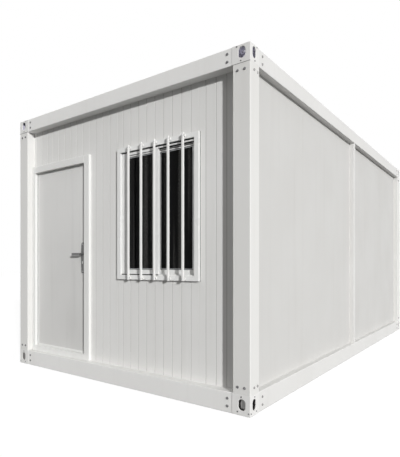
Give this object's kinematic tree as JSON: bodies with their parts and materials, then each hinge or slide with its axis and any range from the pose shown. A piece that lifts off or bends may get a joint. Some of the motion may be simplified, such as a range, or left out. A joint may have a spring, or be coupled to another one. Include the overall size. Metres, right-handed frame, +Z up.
{
  "type": "container cabin",
  "caption": "White flat-pack container cabin: bolted steel frame with corner castings, ribbed sandwich walls, a hinged door with a lever handle and a barred sliding window.",
  "frame": {"origin": "on the ground, under the middle of the cabin", "axes": "+Z up; +Y along the length, away from the door end; +X to the right seen from the door end"},
  "size_m": [2.99, 6.055, 2.896],
  "materials": {
    "frame_paint": "satin",
    "panel_paint": "satin",
    "roof_paint": "satin",
    "ceiling_paint": "matte",
    "floor_board": "matte",
    "joist_steel": "galvanised",
    "door_frame_paint": "satin",
    "door_paint": "satin",
    "hinge_steel": "satin",
    "handle_metal": "satin",
    "window_plastic": "satin",
    "window_glass": "polished"
  },
  "bodies": {
    "cabin": {"bottom_casting_front_left": "frame_paint", "bottom_casting_front_right": "frame_paint", "bottom_casting_rear_left": "frame_paint", "bottom_casting_rear_right": "frame_paint", "ceiling": "ceiling_paint", "corner_post_front_left": "frame_paint", "corner_post_front_right": "frame_paint", "corner_post_rear_left": "frame_paint", "corner_post_rear_right": "frame_paint", "door_head": "door_frame_paint", "door_jamb_left": "door_frame_paint", "door_jamb_right": "door_frame_paint", "door_threshold": "door_frame_paint", "floor_beam_front": "frame_paint", "floor_beam_left": "frame_paint", "floor_beam_rear": "frame_paint", "floor_beam_right": "frame_paint", "floor_board": "floor_board", "floor_joists": "joist_steel", "front_wall_door_strip": "panel_paint", "front_wall_over_door": "panel_paint", "front_wall_over_window": "panel_paint", "front_wall_pier": "panel_paint", "front_wall_right": "panel_paint", "front_wall_under_window": "panel_paint", "hinge_frame_halves": "hinge_steel", "left_wall": "panel_paint", "mid_post_left": "frame_paint", "mid_post_right": "frame_paint", "rear_wall": "panel_paint", "right_wall": "panel_paint", "roof_beam_front": "frame_paint", "roof_beam_left": "frame_paint", "roof_beam_rear": "frame_paint", "roof_beam_right": "frame_paint", "roof_sheet": "roof_paint", "top_casting_front_left": "frame_paint", "top_casting_front_right": "frame_paint", "top_casting_rear_left": "frame_paint", "top_casting_rear_right": "frame_paint", "window_frame": "window_plastic", "window_panes": "window_glass", "window_sashes": "window_plastic"},
    "door": {"door_leaf": "door_paint", "door_handle_plates": "handle_metal", "hinge_door_halves": "hinge_steel"},
    "lever": {"door_lever": "handle_metal"}
  },
  "joints": [
    {"name": "door_swing", "type": "hinge", "parent": "cabin", "child": "door", "pos_m": [-1.303, -2.8685, 1.25], "axis": [0, 0, 1], "range_deg": [0, 90]},
    {"name": "lever_turn", "type": "hinge", "parent": "door", "child": "lever", "pos_m": [-0.502, -2.8965, 1.293], "axis": [0, -1, 0], "range_deg": [0, 40], "stiffness_Nm_per_rad": 8, "springref_deg": -20.05}
  ]
}
